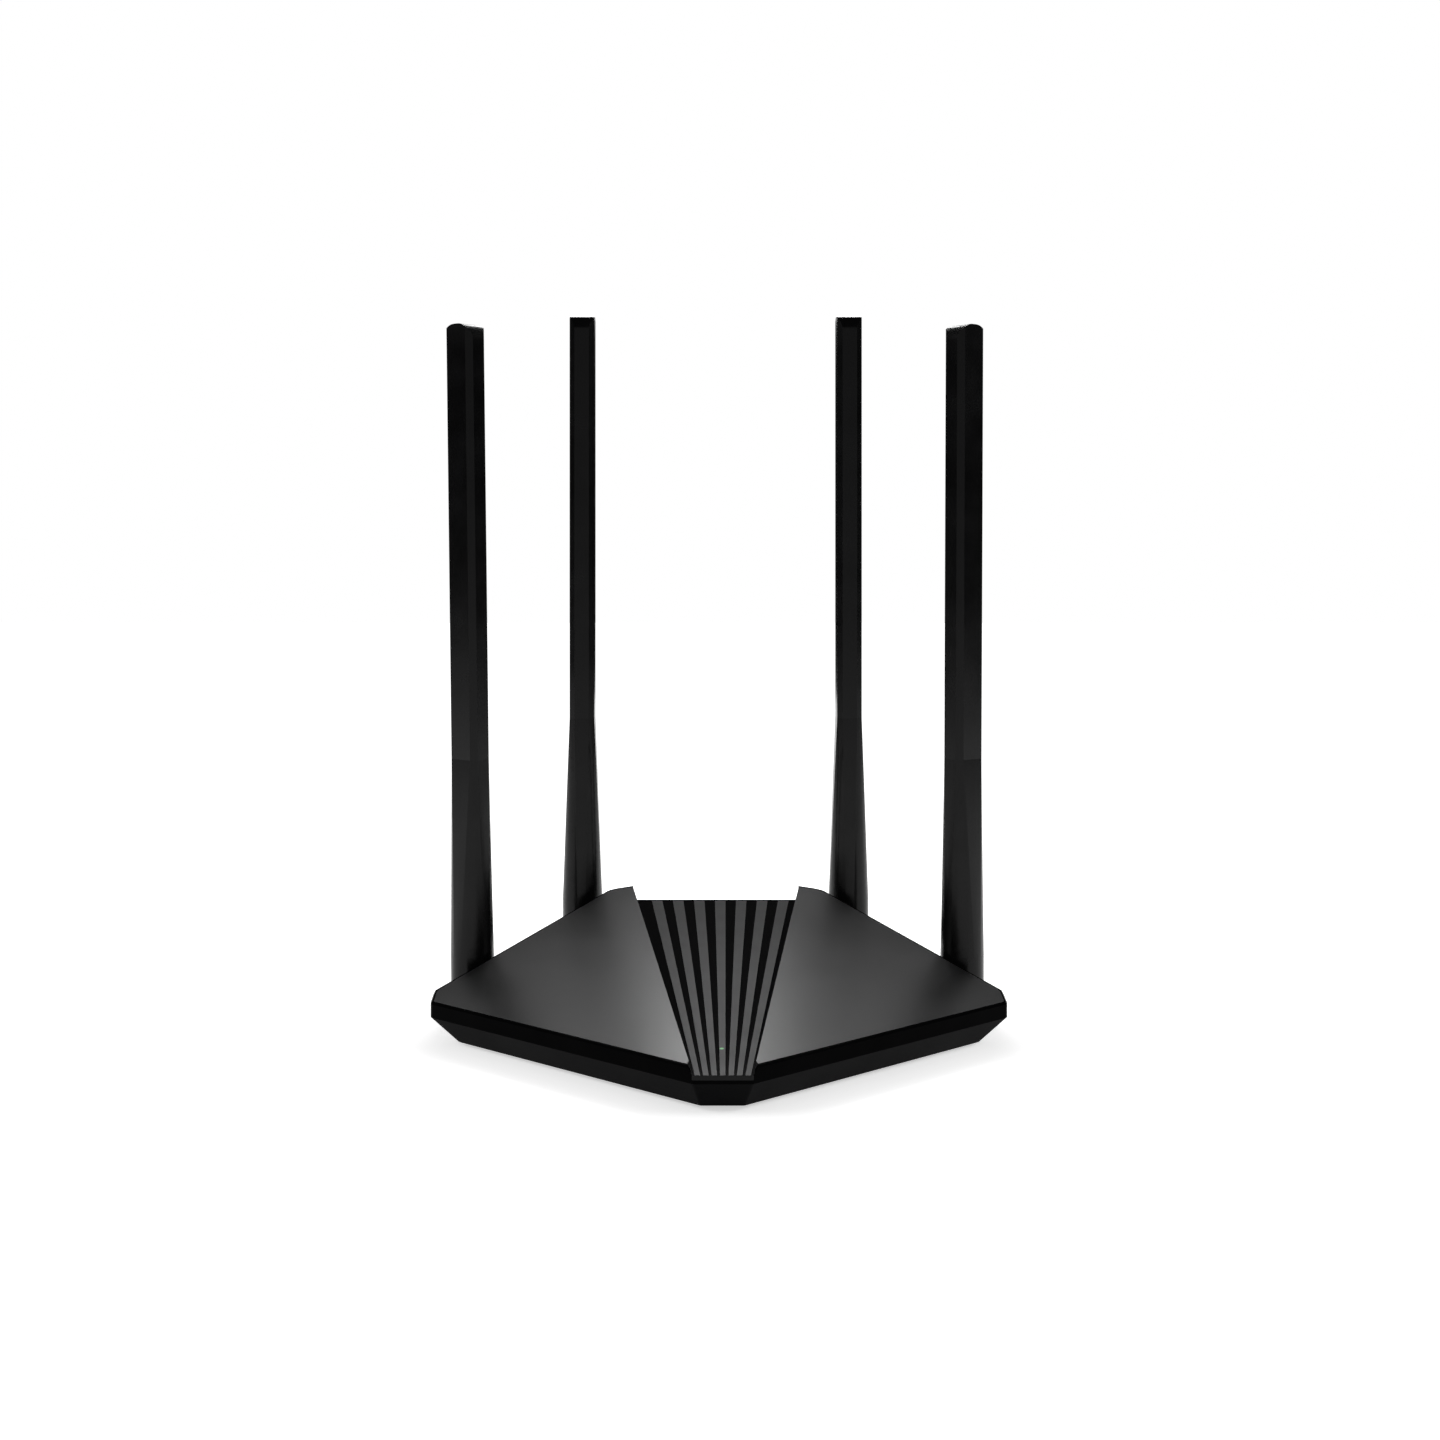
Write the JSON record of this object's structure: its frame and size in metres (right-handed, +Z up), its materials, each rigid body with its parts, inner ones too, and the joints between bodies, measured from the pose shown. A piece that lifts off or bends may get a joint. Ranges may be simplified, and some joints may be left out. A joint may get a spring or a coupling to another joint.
{
  "type": "wireless router",
  "caption": "Low black wireless router with a pointed nose, two sloping wings, a ribbed centre panel and tall blade antennas that fold and swivel.",
  "frame": {"origin": "on the surface that the feet stand on, under the middle of the object's box", "axes": "+X to the right of someone facing the nose, +Y from the nose to the sockets, +Z up"},
  "size_m": [0.2088, 0.1888, 0.2761],
  "materials": {
    "base_plastic": "fine moulded texture, black",
    "band_plastic": "polished black",
    "wing_plastic": "satin black with a fine grain",
    "panel_plastic": "polished black with satin ribs",
    "antenna_plastic": "polished black",
    "hub_plastic": "black",
    "button_plastic": "black",
    "socket_plastic": "moulded black",
    "gold_contacts": "gold plated",
    "plated_metal": "tin plated",
    "steel": "zinc plated",
    "foot_rubber": "matt black",
    "label_film": "blank grey film",
    "light_pipe": "clear, lit green",
    "led": "green",
    "board": "green solder mask",
    "chip": "black epoxy",
    "thermal_pad": "soft grey",
    "heat_sink": "anodised",
    "capacitor": "sleeved can",
    "lead_jacket": "thin black jacket"
  },
  "bodies": {
    "case": {"lower_case": "base_plastic", "upper_case": "band_plastic", "left_wing_cover": "wing_plastic", "right_wing_cover": "wing_plastic", "centre_panel": "panel_plastic", "circuit_board": "board", "wan_socket": "socket_plastic", "wan_contacts": "gold_contacts", "lan_socket_1": "socket_plastic", "lan_contacts_1": "gold_contacts", "lan_socket_2": "socket_plastic", "lan_contacts_2": "gold_contacts", "dc_jack": "socket_plastic", "dc_jack_pin": "plated_metal", "power_switch": "socket_plastic", "wps_reset_switch": "socket_plastic", "case_screws": "steel", "board_screws": "steel", "rubber_feet": "foot_rubber", "blank_label": "label_film", "light_pipe": "light_pipe", "status_led": "led", "processor": "chip", "thermal_pad": "thermal_pad", "heat_sink": "heat_sink", "radio_shield_1": "plated_metal", "radio_shield_2": "plated_metal", "network_transformers": "chip", "capacitors": "capacitor", "coax_connectors": "gold_contacts", "coax_leads": "lead_jacket"},
    "outer_left_hub": {"outer_left_swivel_hub": "hub_plastic"},
    "outer_left_blade": {"outer_left_hinge_pin": "steel", "outer_left_fork_foot": "antenna_plastic", "outer_left_sleeve": "antenna_plastic", "outer_left_radiator": "board"},
    "inner_left_hub": {"inner_left_swivel_hub": "hub_plastic"},
    "inner_left_blade": {"inner_left_hinge_pin": "steel", "inner_left_fork_foot": "antenna_plastic", "inner_left_sleeve": "antenna_plastic", "inner_left_radiator": "board"},
    "inner_right_hub": {"inner_right_swivel_hub": "hub_plastic"},
    "inner_right_blade": {"inner_right_hinge_pin": "steel", "inner_right_fork_foot": "antenna_plastic", "inner_right_sleeve": "antenna_plastic", "inner_right_radiator": "board"},
    "outer_right_hub": {"outer_right_swivel_hub": "hub_plastic"},
    "outer_right_blade": {"outer_right_hinge_pin": "steel", "outer_right_fork_foot": "antenna_plastic", "outer_right_sleeve": "antenna_plastic", "outer_right_radiator": "board"},
    "power_button": {"power_button": "button_plastic"},
    "wps_reset_button": {"wps_reset_button": "button_plastic"}
  },
  "joints": [
    {"name": "outer_left_swivel", "type": "hinge", "parent": "case", "child": "outer_left_hub", "pos_m": [-0.0939, 0.02978, 0.0144], "axis": [0.7883, -0.6153, 0], "range_deg": [-11.95, 89.05]},
    {"name": "outer_left_fold", "type": "hinge", "parent": "outer_left_hub", "child": "outer_left_blade", "pos_m": [-0.0939, 0.02978, 0.0144], "axis": [-0.6152, -0.7882, -0.0166], "range_deg": [0, 90]},
    {"name": "inner_left_swivel", "type": "hinge", "parent": "case", "child": "inner_left_hub", "pos_m": [-0.0551, 0.08607, 0.0251], "axis": [0, -1, 0], "range_deg": [-10, 90]},
    {"name": "inner_left_fold", "type": "hinge", "parent": "inner_left_hub", "child": "inner_left_blade", "pos_m": [-0.0551, 0.08607, 0.0251], "axis": [-1, 0, 0], "range_deg": [0, 90]},
    {"name": "inner_right_swivel", "type": "hinge", "parent": "case", "child": "inner_right_hub", "pos_m": [0.0551, 0.08607, 0.0251], "axis": [0, 1, 0], "range_deg": [-10, 90]},
    {"name": "inner_right_fold", "type": "hinge", "parent": "inner_right_hub", "child": "inner_right_blade", "pos_m": [0.0551, 0.08607, 0.0251], "axis": [-1, 0, 0], "range_deg": [0, 90]},
    {"name": "outer_right_swivel", "type": "hinge", "parent": "case", "child": "outer_right_hub", "pos_m": [0.0939, 0.02978, 0.0144], "axis": [0.7883, 0.6153, 0], "range_deg": [-11.3, 89.7]},
    {"name": "outer_right_fold", "type": "hinge", "parent": "outer_right_hub", "child": "outer_right_blade", "pos_m": [0.0939, 0.02978, 0.0144], "axis": [-0.6153, 0.7883, 0.0052], "range_deg": [0, 90]},
    {"name": "power_button_press", "type": "slide", "parent": "case", "child": "power_button", "axis": [0, -1, 0], "range_m": [0, 0.0015], "stiffness_N_per_m": 500},
    {"name": "wps_reset_button_press", "type": "slide", "parent": "case", "child": "wps_reset_button", "axis": [0, -1, 0], "range_m": [0, 0.0006], "stiffness_N_per_m": 400}
  ]
}
